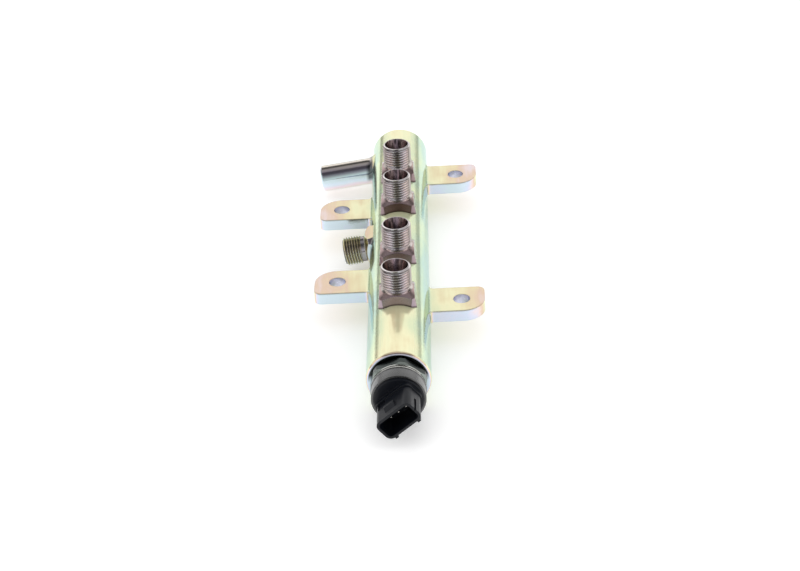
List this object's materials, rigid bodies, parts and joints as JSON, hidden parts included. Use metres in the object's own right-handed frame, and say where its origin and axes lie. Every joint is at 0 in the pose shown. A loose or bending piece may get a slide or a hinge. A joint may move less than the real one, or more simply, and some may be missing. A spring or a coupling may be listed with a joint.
{
  "type": "fuel rail",
  "caption": "Drilled steel tube with a row of threaded outlets on top, a side inlet and spigot, flat fixing lugs, and a pressure sensor with plug socket in one end.",
  "frame": {"origin": "centre of the closed end face of the tube, on the tube's axis", "axes": "+Y along the tube's axis and out of the closed end, so the tube runs along -Y to the sensor; +Z along the outlets; the inlet and the plain spigot point to -X; the lugs lie in the XY plane"},
  "size_m": [0.0943, 0.29, 0.0515],
  "materials": {
    "yellow_zinc": "zinc plate with a glossy, iridescent yellow chromate",
    "bright_steel": "turned, bare",
    "sensor_steel": "turned, satin",
    "inner_plastic": "moulded",
    "board_green": "varnished board",
    "black_plastic": "glass-filled nylon, slight sheen",
    "contact_brass": "stamped strip",
    "seal_rubber": "moulded",
    "tinned_pin": "tin plate"
  },
  "bodies": {
    "root": {"rail_body": "yellow_zinc", "throttle_1": "bright_steel", "throttle_2": "bright_steel", "throttle_3": "bright_steel", "throttle_4": "bright_steel", "throttle_inlet": "bright_steel", "sensor_screw": "sensor_steel", "measuring_cell": "bright_steel", "board_carrier": "inner_plastic", "circuit_board": "board_green", "amplifier_chip": "black_plastic", "contact_spring_1": "contact_brass", "contact_spring_2": "contact_brass", "contact_spring_3": "contact_brass", "sensor_sleeve": "sensor_steel", "housing_seal": "seal_rubber", "connector_housing": "black_plastic", "contact_pin_1": "tinned_pin", "contact_pin_2": "tinned_pin", "contact_pin_3": "tinned_pin"}
  },
  "joints": []
}
